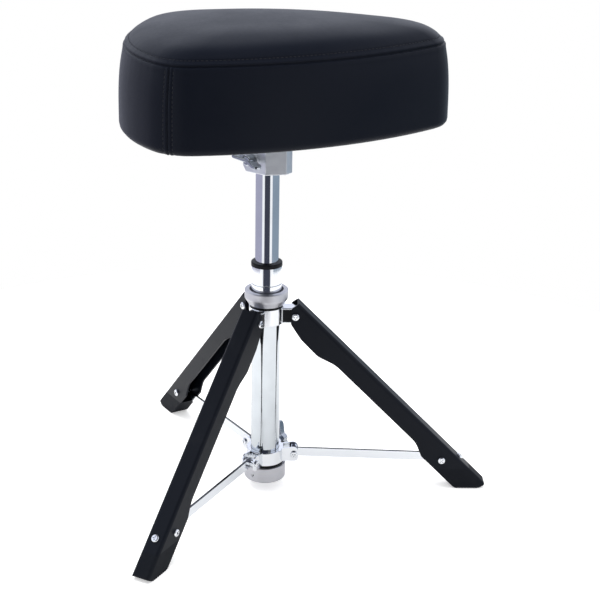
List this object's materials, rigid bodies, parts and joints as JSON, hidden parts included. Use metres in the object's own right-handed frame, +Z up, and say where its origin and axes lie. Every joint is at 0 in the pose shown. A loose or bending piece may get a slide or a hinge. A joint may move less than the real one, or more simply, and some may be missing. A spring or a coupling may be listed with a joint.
{
  "type": "drum throne",
  "caption": "Drum throne: padded rounded-triangle vinyl seat on a telescopic chrome column with a folding tripod of black steel channel legs and rubber feet.",
  "frame": {"origin": "on the floor under the middle of the whole object's box; the column's axis stands at x = -0.0475, y = 0", "axes": "+Z up; +X the way leg 1 and the seat's narrow corner point; +Y to the left of that"},
  "size_m": [0.406, 0.4432, 0.5315],
  "materials": {
    "chrome": "polished",
    "satin_chrome": "satin",
    "cast_metal": "satin",
    "black_powder_coat": "satin",
    "black_rubber": "matte",
    "black_nylon": "matte",
    "zinc_steel": "satin",
    "black_vinyl": "satin",
    "foam": "matte",
    "plywood": "matte",
    "dust_cloth": "matte"
  },
  "bodies": {
    "column": {"base_tube": "chrome", "end_cap": "satin_chrome", "end_cap_screw": "zinc_steel", "stop_washer": "black_nylon", "hub": "cast_metal", "hub_washer": "black_nylon", "pivot_bolts": "chrome", "pivot_nuts": "chrome", "lower_sleeve": "chrome", "tube_collar": "chrome", "post_bush": "black_nylon"},
    "lock_ring": {"lock_ring": "satin_chrome"},
    "post": {"seat_post": "chrome", "post_glide": "black_nylon"},
    "seat": {"seat_bracket": "cast_metal", "bracket_bolts": "zinc_steel", "tee_nuts": "zinc_steel", "seat_board": "plywood", "seat_foam": "foam", "seat_cover": "black_vinyl", "bottom_cloth": "dust_cloth"},
    "seat_wing_bolt": {"seat_wing_bolt": "chrome"},
    "spider": {"spider_ring": "chrome", "spider_pins": "chrome", "spider_spacers": "chrome"},
    "spider_wing_bolt": {"spider_wing_bolt": "chrome"},
    "leg_1": {"leg_1": "black_powder_coat", "foot_1": "black_rubber", "leg_1_screws": "chrome"},
    "stay_1": {"stay_1": "chrome", "stay_1_pin": "chrome"},
    "leg_2": {"leg_2": "black_powder_coat", "foot_2": "black_rubber", "leg_2_screws": "chrome"},
    "stay_2": {"stay_2": "chrome", "stay_2_pin": "chrome"},
    "leg_3": {"leg_3": "black_powder_coat", "foot_3": "black_rubber", "leg_3_screws": "chrome"},
    "stay_3": {"stay_3": "chrome", "stay_3_pin": "chrome"}
  },
  "joints": [
    {"name": "leg_1_fold", "type": "hinge", "parent": "column", "child": "leg_1", "pos_m": [-0.01551, 0, 0.2084], "axis": [0, 1, 0], "range_deg": [0, 25]},
    {"name": "leg_2_fold", "type": "hinge", "parent": "column", "child": "leg_2", "pos_m": [-0.06351, 0.02771, 0.2084], "axis": [-0.866, -0.5, 0], "range_deg": [0, 25]},
    {"name": "leg_3_fold", "type": "hinge", "parent": "column", "child": "leg_3", "pos_m": [-0.06351, -0.02771, 0.2084], "axis": [0.866, -0.5, 0], "range_deg": [0, 25]},
    {"name": "spider_slide", "type": "slide", "parent": "column", "child": "spider", "axis": [0, 0, 1], "range_m": [0, 0.0905]},
    {"name": "stay_1_fold", "type": "hinge", "parent": "spider", "child": "stay_1", "pos_m": [-0.01491, 0, 0.0406], "axis": [0, 1, 0], "range_deg": [0, 62.6]},
    {"name": "stay_2_fold", "type": "hinge", "parent": "spider", "child": "stay_2", "pos_m": [-0.06381, 0.02823, 0.0406], "axis": [-0.866, -0.5, 0], "range_deg": [0, 62.6]},
    {"name": "stay_3_fold", "type": "hinge", "parent": "spider", "child": "stay_3", "pos_m": [-0.06381, -0.02823, 0.0406], "axis": [0.866, -0.5, 0], "range_deg": [0, 62.6]},
    {"name": "height_slide", "type": "slide", "parent": "column", "child": "post", "axis": [0, 0, 1], "range_m": [-0.075, 0.09]},
    {"name": "lock_ring_turn", "type": "hinge", "parent": "column", "child": "lock_ring", "pos_m": [-0.04751, 0, 0.229], "axis": [0, 0, 1], "range_deg": [0, 90]},
    {"name": "seat_turn", "type": "hinge", "parent": "post", "child": "seat", "pos_m": [-0.04751, 0, 0.4], "axis": [0, 0, 1], "continuous": true},
    {"name": "seat_wing_bolt_turn", "type": "hinge", "parent": "seat", "child": "seat_wing_bolt", "pos_m": [-0.06384, -0.01633, 0.387], "axis": [-0.7071, -0.7071, 0], "range_deg": [0, 180]},
    {"name": "spider_wing_bolt_turn", "type": "hinge", "parent": "spider", "child": "spider_wing_bolt", "pos_m": [-0.03001, 0.03031, 0.0405], "axis": [0.5, 0.866, 0], "range_deg": [0, 180]}
  ],
  "couplings": [
    {"joint": "leg_2_fold", "follows": "leg_1_fold", "ratio": 1},
    {"joint": "leg_3_fold", "follows": "leg_1_fold", "ratio": 1},
    {"joint": "spider_slide", "follows": "leg_1_fold", "m_per_rad": 0.20627},
    {"joint": "stay_1_fold", "follows": "leg_1_fold", "ratio": 2.5},
    {"joint": "stay_2_fold", "follows": "leg_1_fold", "ratio": 2.5},
    {"joint": "stay_3_fold", "follows": "leg_1_fold", "ratio": 2.5}
  ]
}
